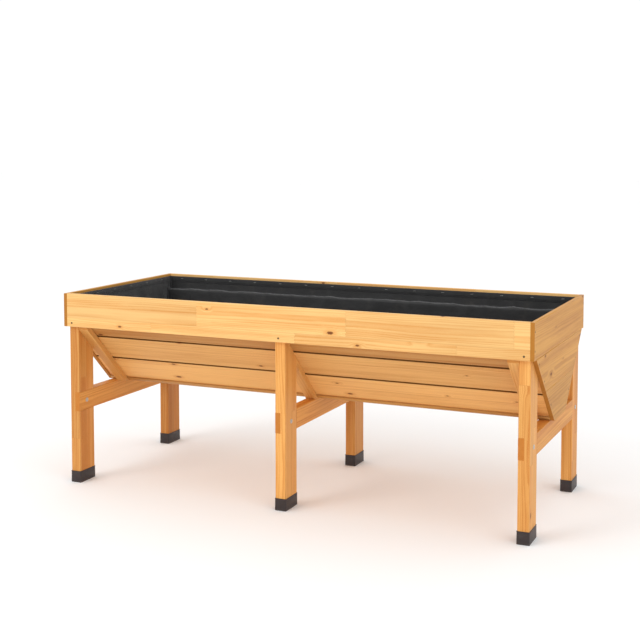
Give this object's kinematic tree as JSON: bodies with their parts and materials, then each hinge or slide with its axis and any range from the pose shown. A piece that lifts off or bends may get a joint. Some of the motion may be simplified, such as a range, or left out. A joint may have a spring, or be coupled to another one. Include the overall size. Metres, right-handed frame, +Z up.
{
  "type": "raised planter on legs",
  "caption": "Long wooden planter: a V-shaped slatted trough with a fabric liner in a rectangular rim, on tall legs joined in pairs by cross bars, with plastic boots.",
  "frame": {"origin": "bottom centre of the bounding box, on the floor between the middle legs", "axes": "+X along the length, -Y the front long side, +Z up"},
  "size_m": [1.8, 0.76, 0.725],
  "materials": {
    "rail_wood": "stained, satin",
    "end_wood": "stained, satin",
    "leg_wood": "stained, satin",
    "bar_wood": "stained, satin",
    "slat_wood": "stained, satin",
    "inner_wood": "stained, matte",
    "boot_plastic": "fine texture",
    "liner_fabric": "woven, matte",
    "bolt_steel": "zinc plated",
    "screw_steel": "zinc plated"
  },
  "bodies": {
    "root": {"leg_front_left": "leg_wood", "leg_front_mid": "leg_wood", "leg_front_right": "leg_wood", "leg_back_left": "leg_wood", "leg_back_mid": "leg_wood", "leg_back_right": "leg_wood", "boot_front_left": "boot_plastic", "boot_front_mid": "boot_plastic", "boot_front_right": "boot_plastic", "boot_back_left": "boot_plastic", "boot_back_mid": "boot_plastic", "boot_back_right": "boot_plastic", "cross_bar_left": "bar_wood", "cross_bar_mid": "bar_wood", "cross_bar_right": "bar_wood", "rail_front": "rail_wood", "rail_back": "rail_wood", "rail_end_left": "end_wood", "rail_end_right": "end_wood", "ledger_front_left": "inner_wood", "ledger_front_right": "inner_wood", "ledger_back_left": "inner_wood", "ledger_back_right": "inner_wood", "end_board_left_low": "end_wood", "end_board_left_high": "end_wood", "end_board_right_low": "end_wood", "end_board_right_high": "end_wood", "slat_front_low": "slat_wood", "slat_front_mid": "slat_wood", "slat_front_top": "slat_wood", "slat_back_low": "slat_wood", "slat_back_mid": "slat_wood", "slat_back_top": "slat_wood", "base_board_front": "slat_wood", "base_board_back": "slat_wood", "batten_front_left": "leg_wood", "batten_front_mid": "leg_wood", "batten_front_right": "leg_wood", "batten_back_left": "leg_wood", "batten_back_mid": "leg_wood", "batten_back_right": "leg_wood", "liner": "liner_fabric", "bar_bolts": "bolt_steel", "leg_screws": "screw_steel", "corner_screws": "screw_steel", "end_screws": "screw_steel", "base_screws": "screw_steel", "batten_screws": "screw_steel"}
  },
  "joints": []
}
